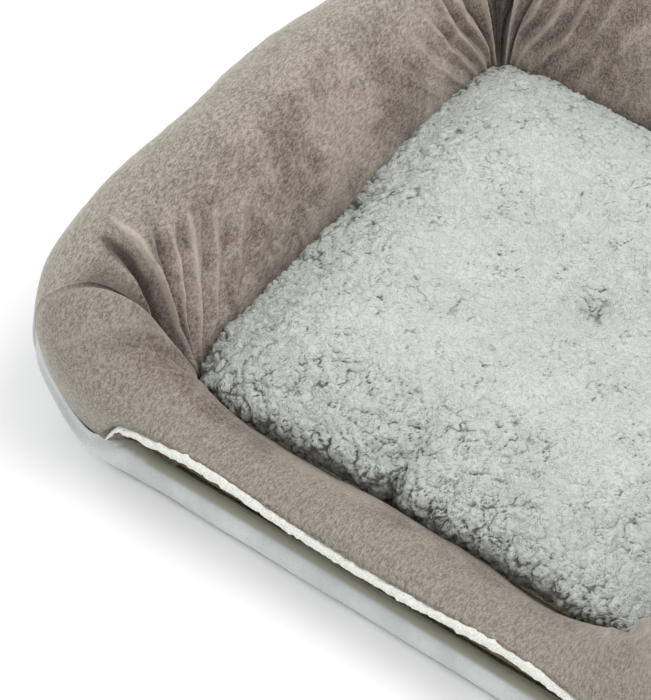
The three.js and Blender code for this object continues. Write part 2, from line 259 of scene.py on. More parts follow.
def velvet_finish():
    """Short crushed velvet: patches of nap brushed one way or the other, a fine grain and a soft sheen."""
    f = Finish("short_velvet")
    patches = f.noise(15, 4, 0.6, f.stretched((0.2, 0.5, 0.6), (1, 2.4, 0.8)), 0.9)
    streaks = f.noise(70, 3, 0.6, f.stretched((0.4, 0.9, 0.3), (1, 0.3, 0.45)), 0.4)
    tips = f.noise(640, 3, 0.8, f.stretched((0.5, 0.4, 0.7), (1, 0.4, 0.7)))
    grain = f.noise(1150, 2, 0.7)
    nap = f.ranged(patches * 0.6 + streaks * 0.4, 0.41, 0.59)
    brushed = f.blend(nap, shade(98, 83, 76), shade(166, 152, 141))
    up = f.attribute("up")
    # Painted sheen: the velvet turns lighter and greyer towards the top of each wall and over it.
    painted_top_sheen = f.ranged(up + 0.35 * f.noise(9, 2), 0.60, 0.86)
    tone_with_painted_sheen = f.blend(painted_top_sheen, brushed, shade(150, 144, 132))
    tone_with_painted_sheen = f.blend(f.ranged(f.noise(5.5, 2), 0.5, 0.72, 0.0, 0.7), tone_with_painted_sheen, shade(152, 145, 133))
    # Painted shade: a dark band along the velvet's edge at its seam with the plush.
    seam = f.ranged(up, 0.955, 0.985)
    tone_with_painted_sheen = f.blend(seam * 0.7, tone_with_painted_sheen, shade(84, 76, 70))
    flecks = f.ranged(tips * 0.62 + grain * 0.38, 0.38, 0.62)
    roots = f.blend(0.46, tone_with_painted_sheen, shade(66, 54, 48))
    ends = f.blend(0.34, tone_with_painted_sheen, shade(216, 208, 196))
    colour = f.blend(flecks, roots, ends)
    # Painted shade in the valleys of the folds and of the mitres, and painted sheen highlights along the
    # folds' ridges.
    ridge = f.attribute("fold_height")
    colour = f.blend(f.ranged(ridge, -1.0, -6.0, 0.0, 0.72), colour, shade(66, 54, 49))
    colour = f.blend(f.ranged(ridge, 1.2, 5.0, 0.0, 0.5), colour, shade(206, 194, 182))
    # Painted shade: the front wall's velvet is made darker, offsetting the light that falls on its
    # upward-facing top.
    colour = f.blend(f.attribute("nap_turned") * 0.2, colour, shade(70, 58, 52))
    relief = f.bump(grain, 0.0006, 0.5, f.bump(tips, 0.0010, 0.45, f.bump(nap, 0.0012, 0.5)))
    return f.surface(
        Base_Color=colour, Roughness=f.ranged(nap, 0, 1, 0.82, 0.66), Normal=relief,
        Sheen_Weight=0.6, Sheen_Roughness=0.42, Sheen_Tint=shade(226, 224, 214), Specular_IOR_Level=0.22)


def plush_finish():
    """Pale cool plush of the outside: a short soft pile with faint brushed marks."""
    f = Finish("pale_plush")
    brushed = f.noise(26, 3, 0.55, f.stretched((0.3, 0.2, 0.8), (1, 1, 0.5)))
    pile = f.noise(1100, 2, 0.7)
    colour = f.blend(f.ranged(brushed, 0.35, 0.65), shade(186, 190, 190), shade(204, 208, 207))
    colour = f.blend(f.ranged(pile, 0.36, 0.56), f.blend(0.3, colour, shade(150, 153, 153)), colour)
    lined = f.attribute("lined")
    colour = f.blend(lined, colour, shade(158, 157, 143))
    relief = f.bump(pile, 0.0007, 0.6, f.bump(brushed, 0.001, 0.4))
    return f.surface(
        Base_Color=colour, Roughness=0.92, Normal=relief,
        Sheen_Weight=0.5, Sheen_Roughness=0.5, Sheen_Tint=shade(240, 242, 242), Specular_IOR_Level=0.15)


def binding_finish():
    """Whiter long-haired plush folded over the mouth's edge."""
    f = Finish("white_binding")
    pile = f.noise(900, 3, 0.75)
    colour = f.blend(f.ranged(pile, 0.34, 0.6), shade(206, 208, 196), shade(238, 240, 232))
    return f.surface(
        Base_Color=colour, Roughness=0.95, Normal=f.bump(pile, 0.001, 0.7),
        Sheen_Weight=0.6, Sheen_Roughness=0.5, Sheen_Tint=shade(248, 248, 238), Specular_IOR_Level=0.12)


def fleece_finish():
    """Curly sherpa fleece: pale grey, with painted shade down between the curls, in the fissures and on the
    cushion's lower sides.
    """
    f = Finish("sherpa_fleece")
    fibres = f.noise(1300, 3, 0.7, None, 0.6)
    curls = (f.noise(330, 2, 0.55, None, 1.0) - 0.5).size()
    cloud = f.noise(16, 2)
    thick = f.noise(60, 2)
    folds = (f.noise(150, 2, 0.5, None, 1.3) - 0.5).size()
    broken = f.ranged(f.noise(120, 2, 0.5, f.stretched((0.4, 0.1, 0.7), (1, 1, 1))), 0.40, 0.56)
    fissures = (1 - f.ranged(folds, 0.0, 0.028)) * broken
    depth = f.attribute("pile_depth")
    creases = (1 - f.ranged(curls, 0.0, 0.03)) * f.ranged(thick, 0.40, 0.56)
    tip = f.blend(f.ranged(cloud, 0.35, 0.65), shade(203, 209, 205), shade(211, 217, 213))
    body = f.blend(f.ranged(fibres, 0.34, 0.58), shade(188, 193, 189), tip)
    edge = f.attribute("toward_edge")
    # Painted shade: darker down in the creases between the curls and in the fissures, more so towards the
    # front left edges.
    colour = f.blend(creases * (0.14 + edge * 0.3), body, shade(112, 115, 109))
    colour = f.blend(fissures * (0.16 + edge * 0.7), colour, shade(96, 98, 93))
    # Painted shade: the fleece is darker towards its front left edges, beside the walls.
    colour = f.blend(edge * 0.14, colour, shade(140, 142, 138))
    # Painted shade: darker deep in the valleys between the puffs and on the cushion's lower sides.
    colour = f.blend(f.ranged(depth, 0.03, 0.8), colour, shade(90, 89, 84))
    relief = f.bump(f.ranged(curls, 0.0, 0.2), 0.0007, 0.5, f.bump(f.ranged(folds, 0.0, 0.1), 0.0009, 0.6))
    relief = f.bump(fibres, 0.0006, 0.5, relief)
    return f.surface(
        Base_Color=colour, Roughness=0.95, Normal=relief,
        Sheen_Weight=0.35, Sheen_Roughness=0.6, Sheen_Tint=shade(240, 242, 238), Specular_IOR_Level=0.12)


def lining_finish():
    """Olive grey woven lining of the cave."""
    f = Finish("cave_lining")
    weave = f.noise(1400, 1, 0.5, f.stretched((0, 0, 0), (1, 0.35, 1)))
    cloud = f.noise(18, 2)
    colour = f.blend(f.ranged(cloud, 0.3, 0.7), shade(150, 148, 132), shade(176, 174, 158))
    relief = f.bump(weave, 0.0004, 0.5)
    return f.surface(Base_Color=colour, Roughness=0.85, Normal=relief, Sheen_Weight=0.3,
                     Sheen_Roughness=0.4, Specular_IOR_Level=0.2)


def ticking_finish():
    """Plain woven ticking under the cushion."""
    f = Finish("plain_ticking")
    warp = f.noise(1500, 1, 0.5, f.stretched((0, 0, 0), (1, 0.2, 1)))
    weft = f.noise(1500, 1, 0.5, f.stretched((0, 0, 0), (0.2, 1, 1)))
    weave = warp * 0.5 + weft * 0.5
    colour = f.blend(f.ranged(weave, 0.35, 0.65), shade(204, 202, 195), shade(228, 226, 220))
    return f.surface(Base_Color=colour, Roughness=0.9, Normal=f.bump(weave, 0.0003, 0.6),
                     Specular_IOR_Level=0.2)


def foam_finish():
    """Open-celled foam."""
    f = Finish("open_foam")
    cells = f.node("ShaderNodeTexVoronoi", None, {"Vector": f.place(), "Scale": 700.0})
    colour = f.blend(f.ranged(cells, 0.1, 0.8), shade(206, 198, 168), shade(236, 229, 203))
    return f.surface(Base_Color=colour, Roughness=0.95, Normal=f.bump(cells, 0.0006, 0.7),
                     Specular_IOR_Level=0.15)


def grip_finish():
    """Dark non-slip sheet."""
    f = Finish("grip_cloth")
    weave = f.noise(1200, 1, 0.5)
    colour = f.blend(f.ranged(weave, 0.3, 0.7), shade(62, 62, 64), shade(84, 84, 86))
    return f.surface(Base_Color=colour, Roughness=0.7, Normal=f.bump(weave, 0.0004, 0.5))


def dot_finish():
    """Moulded rubber dots of the non-slip sheet."""
    f = Finish("grip_dots")
    bloom = f.noise(300, 2)
    colour = f.blend(f.ranged(bloom, 0.3, 0.7), shade(34, 34, 36), shade(48, 48, 50))
    return f.surface(Base_Color=colour, Roughness=f.ranged(bloom, 0.3, 0.7, 0.45, 0.6))


def thread_finish():
    """Twisted sewing thread."""
    f = Finish("grey_thread")
    twist = f.noise(2500, 1, 0.5)
    colour = f.blend(f.ranged(twist, 0.3, 0.7), shade(160, 162, 157), shade(192, 194, 190))
    return f.surface(Base_Color=colour, Roughness=0.8, Normal=f.bump(twist, 0.0003, 0.6))


def floor_finish():
    """Plain pale floor."""
    f = Finish("pale_floor")
    cloud = f.noise(3, 1)
    colour = f.blend(f.ranged(cloud, 0.3, 0.7), (0.93, 0.93, 0.93, 1), (0.95, 0.95, 0.95, 1))
    return f.surface(Base_Color=colour, Roughness=0.95, Specular_IOR_Level=0.05)


# ---------------------------------------------------------------- mesh work

def put_in_scene(name, data):
    made = bpy.data.objects.new(name, data)
    bpy.context.scene.collection.objects.link(made)
    return made


def mesh_piece(name, corners, faces, finish, attributes=None):
    """A smooth mesh through corners, given in millimetres from the nest's middle."""
    mesh = bpy.data.meshes.new(name)
    placed = np.asarray(corners, float) * MM + np.array(NEST)
    mesh.from_pydata(placed.tolist(), [], faces)
    mesh.materials.append(finish)
    made = put_in_scene(name, mesh)
    for key, numbers in (attributes or {}).items():
        keep_attribute(made, key, numbers)
    face_out(made)
    mesh.shade_smooth()
    return made


def keep_attribute(made, key, numbers):
    kept = made.data.attributes.new(key, "FLOAT", "POINT")
    kept.data.foreach_set("value", np.asarray(numbers, np.float32))


def rework(made, work):
    """Opens a piece's shell, lets one piece of work change it, and closes it again."""
    shell = bmesh.new()
    shell.from_mesh(made.data)
    work(shell)
    shell.to_mesh(made.data)
    shell.free()


def turn_out(shell):
    bmesh.ops.recalc_face_normals(shell, faces=shell.faces)


def face_out(made):
    rework(made, turn_out)


def skin_faces(loops, around, first=0):
    """Quads over a row of equal closed loops, with a face over each end of the row."""
    faces = []
    for i in range(loops - 1):
        here, onward = first + i * around, first + (i + 1) * around
        for k in range(around):
            after = (k + 1) % around
            faces.append((here + k, onward + k, onward + after, here + after))
    last = first + (loops - 1) * around
    faces.append(tuple(range(first, first + around)))
    faces.append(tuple(last + k for k in reversed(range(around))))
    return faces


def read_points(made):
    flat = np.zeros(len(made.data.vertices) * 3)
    made.data.vertices.foreach_get("co", flat)
    return (flat.reshape(-1, 3) - np.array(NEST)) / MM


def read_normals(made):
    flat = np.zeros(len(made.data.vertices) * 3, np.float32)
    made.data.vertex_normals.foreach_get("vector", flat)
    return flat.reshape(-1, 3).astype(float)


def read_attribute(made, key):
    numbers = np.zeros(len(made.data.vertices), np.float32)
    made.data.attributes[key].data.foreach_get("value", numbers)
    return numbers.astype(float)


def write_points(made, points):
    made.data.vertices.foreach_set("co", (points * MM + np.array(NEST)).astype(np.float32).ravel())
    made.data.update()


def hand_over(made, body, slot, *nodes):
    """Attaches a piece to the body it moves with and hides the solids it stands for; slot, what it is made
    of, is not used.
    """
    if nodes:
        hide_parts(*nodes)
    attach(made, body)


def apply_modifier(made, modifier):
    bpy.context.view_layer.objects.active = made
    bpy.ops.object.modifier_apply(modifier=modifier.name)


def subdivided(made, levels):
    finer = made.modifiers.new("finer", "SUBSURF")
    finer.levels = finer.render_levels = levels
    apply_modifier(made, finer)
    made.data.shade_smooth()


def plumped(made, pinned, pressure, cap, frames=20):
    """Lets the stuffing push the cloth out for some frames, no point further than cap millimetres."""
    start = read_points(made)
    group = made.vertex_groups.new(name="pinned")
    for weight in np.unique(np.round(pinned, 2)):
        held = np.nonzero(np.round(pinned, 2) == weight)[0].tolist()
        if weight > 0:
            group.add(held, float(weight), "REPLACE")
    cloth = made.modifiers.new("stuffing", "CLOTH")
    settings = cloth.settings
    settings.quality = 5
    settings.mass = 0.3
    settings.tension_stiffness = settings.compression_stiffness = 12
    settings.shear_stiffness = 8
    settings.bending_stiffness = 0.4
    settings.use_pressure = True
    settings.uniform_pressure_force = pressure
    settings.vertex_group_mass = group.name
    settings.effector_weights.gravity = 0
    cloth.collision_settings.use_collision = False
    cloth.point_cache.frame_start = 1
    cloth.point_cache.frame_end = frames
    scene = bpy.context.scene
    for step in range(1, frames + 1):
        scene.frame_set(step)
    apply_modifier(made, cloth)
    made.vertex_groups.clear()
    scene.frame_set(1)
    moved = read_points(made) - start
    far = np.linalg.norm(moved, axis=1, keepdims=True)
    write_points(made, start + moved * np.minimum(1, cap / np.maximum(far, 1e-6)))


# ---------------------------------------------------------------- walls of the nest

def corner_share(place):
    return smooth(place, 0.42, 0.96)


def front_share(place):
    return smooth(place, 0.48, 1)


def front_seam_height(place):
    lifted = LIP_HEIGHT + 7 * bell(place - 0.42, 0.2)
    mouth = lerp(lifted, MOUTH_END_HEIGHT, smooth(place, 0.645, MOUTH_END))
    return lerp(mouth, SEAM_HEIGHT, smooth(place, MOUTH_END + 0.02, 1))


def sill_height(place):
    sill = lerp(SILL_HEIGHT, MOUTH_END_HEIGHT - SEAM_FOLD, smooth(place, 0.57, MOUTH_END))
    return np.where(place < MOUTH_END, sill, front_seam_height(place) - SEAM_FOLD)


def sill_share(place):
    return smooth(place, 0.57, MOUTH_END + 0.02)


def stations(count, trim):
    """Places along a side, mitre to mitre: sign of the half, share of the way and angle of turn."""
    run = np.linspace(-1, 1, count)
    straight = 0.8  # the share of the stations spent before the corner arc starts
    far = np.abs(run)
    turn = np.clip((far - straight) / (1 - straight), 0, 1) * (45 - trim)
    place = np.where(far <= straight, far / straight * ARC_START, ARC_START + (1 - ARC_START) * turn / 45)
    return np.sign(run), place, np.radians(turn)


def mouth_row(run, reach):
    """Stations along the mouth, which ends before the corner arcs start."""
    place = np.abs(run) * reach
    return np.sign(run), place, np.zeros_like(place)


WALL_NARROWS = 0.42  # from this place on, a rail draws in towards the corner's own distance
SILL_NARROWS = 0.63


def rail_line(rail, side, row, height=None, share_of=corner_share):
    """One rail's points at every station of a side."""
    sign, place, turn = row
    at_side, at_corner, at_front, radius = rail
    is_front = side == "front"
    share = share_of(place)
    middle = at_front if is_front else at_side
    corner_out = at_corner[0] if is_front else at_side[0]
    front_way = {"left": 1, "right": -1}.get(side, 0)
    neighbour = np.where(sign * front_way > 0, at_corner[0], at_side[0])
    along = (NEST_HALF + neighbour - radius) * np.minimum(place / ARC_START, 1) + radius * np.sin(turn)
    narrows = SILL_NARROWS if share_of is sill_share else WALL_NARROWS
    flat_out = lerp(middle[0], corner_out, smooth(place, narrows, ARC_START))
    out = NEST_HALF + flat_out - radius * (1 - np.cos(turn))
    level = height(place) if height else lerp(middle[1], at_corner[1], share)
    along_way, out_way = SIDES[side]
    return np.stack([
        along_way[0] * sign * along + out_way[0] * out,
        along_way[1] * sign * along + out_way[1] * out,
        level * np.ones_like(place)], -1)


def through(points, steps):
    """Sections [station, step, xyz] of an even step over rails [station, rail, xyz]."""
    first = 2 * points[:, :1] - points[:, 1:2]
    last = 2 * points[:, -1:] - points[:, -2:-1]
    line = np.concatenate([first, points, last], 1)
    pieces = []
    for i in range(points.shape[1] - 1):
        p0, p1, p2, p3 = (line[:, i + k] for k in range(4))
        d0, d1, d2 = (
            np.maximum(np.linalg.norm(b - a, axis=-1, keepdims=True) ** 0.5, 1e-6)
            for a, b in ((p0, p1), (p1, p2), (p2, p3)))
        t1 = ((p1 - p0) / d0 - (p2 - p0) / (d0 + d1) + (p2 - p1) / d1) * d1
        t2 = ((p2 - p1) / d1 - (p3 - p1) / (d1 + d2) + (p3 - p2) / d2) * d1
        for w in np.arange(12) / 12:
            pieces.append(
                p1 + t1 * w + (3 * (p2 - p1) - 2 * t1 - t2) * w * w + (2 * (p1 - p2) + t1 + t2) * w ** 3)
    pieces.append(points[:, -1])
    dense = np.stack(pieces, 1)
    run = np.concatenate([
        np.zeros((len(dense), 1)), np.cumsum(np.linalg.norm(np.diff(dense, axis=1), axis=-1), 1)], 1)
    out = np.zeros((len(dense), steps + 1, 3))
    for i, (line_here, length) in enumerate(zip(dense, run)):
        want = np.linspace(0, length[-1], steps + 1)
        for axis in range(3):
            out[i, :, axis] = np.interp(want, length, line_here[:, axis])
    return out


def surface_over(rails, side, row, steps, heights=None, share_of=corner_share):
    heights = heights or [None] * len(rails)
    lines = [rail_line(rail, side, row, height, share_of) for rail, height in zip(rails, heights)]
    return through(np.stack(lines, 1), steps)


def inwards_of(surface):
    """Unit directions into the wall, each in its own section's upright plane."""
    along = np.gradient(surface, axis=0)
    over = np.gradient(surface, axis=1)
    inwards = np.cross(along, over)
    across = surface[:, -1:] - surface[:, :1]
    across[..., 2] = 0
    across /= np.linalg.norm(across, axis=-1, keepdims=True)
    plane = np.stack([-across[..., 1], across[..., 0], 0 * across[..., 0]], -1)
    inwards -= plane * np.sum(inwards * plane, -1, keepdims=True)
    return inwards / np.maximum(np.linalg.norm(inwards, axis=-1, keepdims=True), 1e-9)


def velvet_over(side, row, steps):
    """The velvet of one side; the front's ends at the edge of the mouth."""
    if side != "front":
        return surface_over(VELVET_RAILS, side, row, steps)
    heights = [None] * (len(VELVET_RAILS) - 1) + [front_seam_height]
    return surface_over(VELVET_RAILS, side, row, steps, heights, front_share)


def plush_height(rail):
    """Gives the height of one rail of the front plush at each place."""
    def height(place):
        share = lerp(rail[2][1], rail[1][1], sill_share(place))
        return PANEL_FOOT + (sill_height(place) - PANEL_FOOT) * share
    return height


def plush_over(side, row, steps):
    """The outside of the plush on one side; the front's rolls over the sill."""
    if side != "front":
        return surface_over(PLUSH_RAILS, side, row, steps)
    heights = [plush_height(rail) for rail in FRONT_PLUSH_RAILS]
    return surface_over(FRONT_PLUSH_RAILS, side, row, steps, heights, sill_share)


# Rails of the mouth's roof: share of the way from the nest to the mouth's edge, and height
MOUTH_ROOF = ((0.95, 56), (0.87, 52), (0.74, 46), (0.55, 39), (0.14, 27.5))
WALL_FOOT = 13


def roof_lines(start, lip, lower=0):
    lines = []
    for share, level in MOUTH_ROOF:
        line = lerp(start, lip, share)
        line[:, 2] = level - lower
        lines.append(line)
    return lines


def foot_of(section_start, outer):
    heel = lerp(outer, section_start, 0.14)
    heel[..., 2] = WALL_FOOT
    toe = lerp(section_start, heel, 0.1)
    toe[..., 2] = WALL_FOOT
    return [heel, toe]


def wall_loops(side, count, steps):
    """Closed sections of a wall: velvet over the top, then down inside the plush and along the foot."""
    row = stations(count, 0)
    velvet, plush = velvet_over(side, row, steps), plush_over(side, row, 10)
    inside = plush + inwards_of(plush) * (PLUSH + 1.6)
    hidden = [inside[:, k] for k in range(1, 10)]
    hidden += foot_of(velvet[:, 0].copy(), hidden[-1].copy())
    return velvet, np.concatenate([velvet, np.stack(hidden, 1)], 1)


def front_loops(count, steps):
    """Closed sections of the front wall, hollow underneath as far as the mouth runs."""
    row = stations(count, 0)
    velvet, plush = velvet_over("front", row, steps), plush_over("front", row, 10)
    outside = plush + inwards_of(plush) * (PLUSH + 3.4)
    lip, start = velvet[:, -1], velvet[:, 0]
    upper, lower = outside[:, 6], outside[:, 8]
    tucked = lip + inwards_of(velvet)[:, -1] * 3
    standing = [tucked, upper, lower, *foot_of(start.copy(), lower.copy())]
    closed = smooth(row[1], MOUTH_END - 0.012, MOUTH_END + 0.012)[:, None]
    under = [lerp(a, b, closed) for a, b in zip(roof_lines(start, lip), standing)]
    return velvet, np.concatenate([velvet, np.stack(under, 1)], 1)


def wall_piece(side, count, steps, finish):
    """One stuffed wall, with each point's distances from its two mitres and place on the section."""
    velvet, loops = front_loops(count, steps) if side == "front" else wall_loops(side, count, steps)
    around = loops.shape[1]
    # distance from each end's mitre, measured along the crest
    crest = velvet[:, int(steps * 0.55)]
    run = np.concatenate([[0], np.cumsum(np.linalg.norm(np.diff(crest, axis=0), axis=1))])
    from_start = np.repeat(run, around)
    from_end = np.repeat(run[-1] - run, around)
    up = np.full((count, around), 2.0)
    up[:, :steps + 1] = np.linspace(0, 1, steps + 1)
    faces = skin_faces(count, around)
    made = mesh_piece(f"wall_{side}", loops.reshape(-1, 3), faces, finish, {
        "from_start": from_start, "from_end": from_end, "up": up.ravel()})
    keep_ends_sharp(made, count, around)
    shown = (up.ravel() > 0.02) & (up.ravel() < 0.985)
    near = np.minimum(from_start, from_end)
    held = np.where(shown, np.clip(1 - near / 10, 0, 1), 1)
    plumped(made, held, 3.0, 6)
    return made


def keep_ends_sharp(made, count, around):
    """The flat ends of a wall meet its neighbours', so their edges stay where they are."""
    last = (count - 1) * around

    def sharpen(shell):
        crease = shell.edges.layers.float.new("crease_edge")
        for edge in shell.edges:
            a, b = edge.verts[0].index, edge.verts[1].index
            if max(a, b) < around or min(a, b) >= last:
                edge[crease] = 1.0
                edge.smooth = False

    rework(made, sharpen)


def fold(along, up, gather):
    """A ridge or a valley that climbs the wall from one distance off the mitre to another."""
    foot_at, crest_at, height, width, low, high = gather
    climb = np.clip((up - low) / (high - low), 0, 1)
    line = lerp(foot_at, crest_at, climb ** 0.85)
    fade = smooth(up, low - 0.06, low + 0.06) * (1 - smooth(up, high - 0.16, high + 0.04))
    off = np.abs(along - line) / (width * (0.5 + 0.6 * climb))
    return height * np.exp(0.65 - 1.7 * np.sqrt(off * off + 0.146)) * fade


# Gathers of a side wall at a corner: distance from the mitre at the foot and at the crest,
# height, width, and where on the section each starts and ends
SIDE_GATHERS = (
    (2, 12, 2.5, 4.0, 0.12, 0.62),
    (4, 24, -11.0, 4.6, 0.10, 0.70),
    (8, 36, 9.5, 4.4, 0.06, 0.68),
    (14, 52, -5.0, 4.6, 0.10, 0.60),
    (19, 62, 5.0, 4.6, 0.08, 0.56),
    (25, 71, -4.0, 4.4, 0.12, 0.54),
    (31, 81, 5.4, 4.6, 0.08, 0.56),
    (38, 91, -3.2, 4.4, 0.12, 0.50),
    (46, 102, 3.8, 4.6, 0.10, 0.54),
    (55, 112, -2.2, 4.8, 0.14, 0.48),
    (66, 125, 3.2, 4.8, 0.12, 0.52),
    (80, 138, -1.6, 5.5, 0.16, 0.46),
    (94, 150, 2.2, 5.5, 0.16, 0.48),
    (122, 176, 1.5, 6.5, 0.2, 0.46),
)
FRONT_GATHERS = (
    (16, 26, 2.6, 12.0, 0.10, 0.80),
    (36, 46, -1.4, 8.0, 0.14, 0.70),
    (52, 64, 1.2, 8.0, 0.14, 0.66),
)
VALLEY = 9.0


def mitre_normals(points, normals, along):
    """Turns the way of moving into the mitre's own plane beside it, so that two walls stay joined."""
    across = np.stack([-np.sign(points[:, 1]), np.sign(points[:, 0]), 0 * points[:, 0]], -1) / math.sqrt(2)
    share = bell(along, 5)[:, None]
    return normals - across * (share * np.sum(normals * across, -1, keepdims=True))


def sculpt_wall(made, side):
    """Valleys at the mitres, gathers beside them and the uneven swell of the stuffing."""
    points = read_points(made)
    normals = read_normals(made)
    up = read_attribute(made, "up")
    shown = smooth(up, 0.0, 0.08) * (1 - smooth(up, 0.93, 1.0))
    ends = (read_attribute(made, "from_start"), read_attribute(made, "from_end"))
    nearest = np.minimum(*ends)
    normals = mitre_normals(points, normals, nearest)
    is_front = side == "front"
    over = smooth(up, 0.0, 0.14) * (1 - 0.8 * smooth(up, 0.62, 0.86))
    move = -VALLEY * over * bell(nearest, 5.0 if is_front else 17)
    wobble = 4 * drift(points, 55, 5) + 1.5 * drift(points, 20, 6)
    folds = np.zeros(len(points))
    for along in ends:
        for gather in FRONT_GATHERS if is_front else SIDE_GATHERS:
            folds += fold(along + wobble, up, gather) * smooth(along, 0, 6)
    # fold_height carries the folds and the mitre valleys into the velvet's colour: painted shade in the
    # valleys, painted highlights on the ridges.
    keep_attribute(made, "fold_height", folds + move * 0.6)
    # Marks the front wall, whose velvet gets painted shade.
    keep_attribute(made, "nap_turned", np.full(len(points), float(is_front)))
    move += folds
    move += 2.4 * drift(points, 95, 11) + 1.2 * drift(points, 42, 12) + 0.4 * drift(points, 15, 13)
    moved = points + normals * (move * shown)[:, None]
    write_points(made, swell_corner(moved))


def swell_corner(points):
    """The stuffing stands out furthest at the front left corner, just above the plush."""
    corner_x, corner_y, reach = -240, -215, 62
    to_left, to_front = 9, 2
    away = np.hypot(points[:, 0] - corner_x, points[:, 1] - corner_y)
    swell = bell(away, reach) * smooth(points[:, 2], 22, 78) * (1 - smooth(points[:, 2], 84, 132))
    points[:, 0] -= to_left * swell
    points[:, 1] -= to_front * swell
    return points


def lean_left(made):
    """The left wall bulges out towards the front and is lower at the back."""
    points = read_points(made)
    up = read_attribute(made, "up")
    nearest = np.minimum(read_attribute(made, "from_start"), read_attribute(made, "from_end"))
    y = points[:, 1]
    part = smooth(up, 0.05, 0.5) * (1 - smooth(up, 0.85, 1.02)) * smooth(nearest, 4, 70)
    part = np.where(up > 1.5, 0, part)
    in_at_back, out_at_front = 5, 8
    low_at_back, low_at_front = 13, 3
    points[:, 0] += part * (in_at_back * smooth(y, -20, 140) - out_at_front * bell(y + 175, 75))
    points[:, 2] -= part * (low_at_front * bell(y + 120, 50) + low_at_back * smooth(y, -30, 110))
    write_points(made, points)


WALLS = (
    # side, steps over the velvet, the solids it stands for
    ("left", 40, "wall_cover_left", "wall_bolster_left"),
    ("back", 40, "wall_cover_back", "wall_bolster_back"),
    ("right", 40, "wall_cover_right", "wall_bolster_right"),
    ("front", 26, "front_wall_cover", "front_wall_bolster"),
)
WALL_STATIONS = 84


def build_walls(velvet):
    for side, steps, *nodes in WALLS:
        wall = wall_piece(side, WALL_STATIONS, steps, velvet)
        subdivided(wall, 2)
        sculpt_wall(wall, side)
        if side == "left":
            lean_left(wall)
        hand_over(wall, "bed", "velvet", *nodes)


# ---------------------------------------------------------------- outside panels

PANEL_TRIM = 0.2  # degrees of corner arc left open at each mitre of the plush
LINED_DEPTH = 1.6  # the lining ends this far below the top of the sill's roll


PANELS = (
    # side, steps down the plush, the solid it stands for, what it rests on
    ("left", 16, "outer_panel_left", ["wall_left"]),
    ("back", 16, "outer_panel_back", ["wall_back"]),
    ("right", 16, "outer_panel_right", ["wall_right"]),
    ("front", 20, "front_outer_panel", ["sill_pad", "wall_front"]),
)


def panel_piece(side, steps, finish):
    """One outside panel of plush with its thickness, and its flat size in metres."""
    row = stations(110, PANEL_TRIM)
    outer = plush_over(side, row, steps)
    inner = outer + inwards_of(outer) * PLUSH
    loops = np.concatenate([outer, inner[:, ::-1]], 1)
    around = loops.shape[1]
    inside = np.zeros(outer.shape[:2])
    if side == "front":  # on top of the sill the panel is faced with the cave's lining
        roll = np.max(outer[..., 2], axis=1, keepdims=True)
        inside = (outer[..., 2] > roll - LINED_DEPTH) * (row[1] < MOUTH_END)[:, None]
    lined = np.concatenate([inside, inside[:, ::-1]], 1)
    made = mesh_piece(f"outer_{side}", loops.reshape(-1, 3), skin_faces(len(loops), around), finish, {
        "lined": lined.ravel()})
    subdivided(made, 1)
    points, normals = read_points(made), read_normals(made)
    ripple = 0.5 * drift(points, 45, 7) + 0.25 * drift(points, 16, 8)
    write_points(made, swell_corner(points + normals * ripple[:, None]))
    wide = np.linalg.norm(np.diff(outer, axis=0), axis=-1).sum(0).mean() * MM
    tall = np.linalg.norm(np.diff(outer, axis=1), axis=-1).sum(1).mean() * MM
    return made, (float(tall), float(wide))


def build_panels(plush):
    for side, steps, node, rests_on in PANELS:
        made, flat = panel_piece(side, steps, plush)
        hand_over(made, "bed", "plush", node)


def build_lip(binding):
    """The white binding folded over the upper edge of the mouth."""
    count, around = 170, 12
    reach = 0.70
    half_height = 3.7
    drop = 1.2
    run = np.linspace(-1, 1, count)
    row = mouth_row(run, reach)
    place = row[1]
    lip = rail_line(VELVET_RAILS[-1], "front", row, front_seam_height, front_share)
    size = half_height * (1 - 0.5 * (place / reach) ** 8)
    wave = drift(np.stack([lip[:, 0], 0 * run, 0 * run], -1), 26, 31)
    loops = np.zeros((count, around, 3))
    for k in range(around):
        angle = 2 * math.pi * k / around
        loops[:, k] = lip
        loops[:, k, 1] -= size * 0.95 * math.cos(angle) + 0.8 * wave - 0.8
        loops[:, k, 2] += size * math.sin(angle) - size - drop + wave
    made = mesh_piece("mouth_lip", loops.reshape(-1, 3), skin_faces(count, around), binding)
    subdivided(made, 1)
    points, normals = read_points(made), read_normals(made)
    fuzz = 0.9 * drift(points, 6, 32) + 0.5 * drift(points, 2.6, 33)
    write_points(made, points + normals * fuzz[:, None])
    hand_over(made, "bed", "plush", "mouth_binding")


# ---------------------------------------------------------------- level layers and linings

def ring_outline(half, radius, front_half, around):
    """Points round a rounded square, even enough, starting at the middle of the right side."""
    angle = np.linspace(0, 2 * math.pi, around, endpoint=False)
    way = np.stack([np.cos(angle), np.sin(angle)], -1)
    core = half - radius  # the corner arcs' centres are this far out both ways
    box = half / np.maximum(np.abs(way).max(1), 1e-9)
    corner = np.abs(way) * box[:, None]
    inside = np.minimum(corner[:, 0], corner[:, 1]) > core
    towards = np.abs(way) @ np.array([core, core])
    beyond = 2 * core * core - radius * radius
    arc = towards + np.sqrt(np.maximum(towards * towards - beyond, 0))
    reach = np.where(inside, np.minimum(arc, box), box)
    ring = way * reach[:, None]
    ring[:, 1] = np.where(ring[:, 1] < 0, ring[:, 1] * front_half / half, ring[:, 1])
    return ring


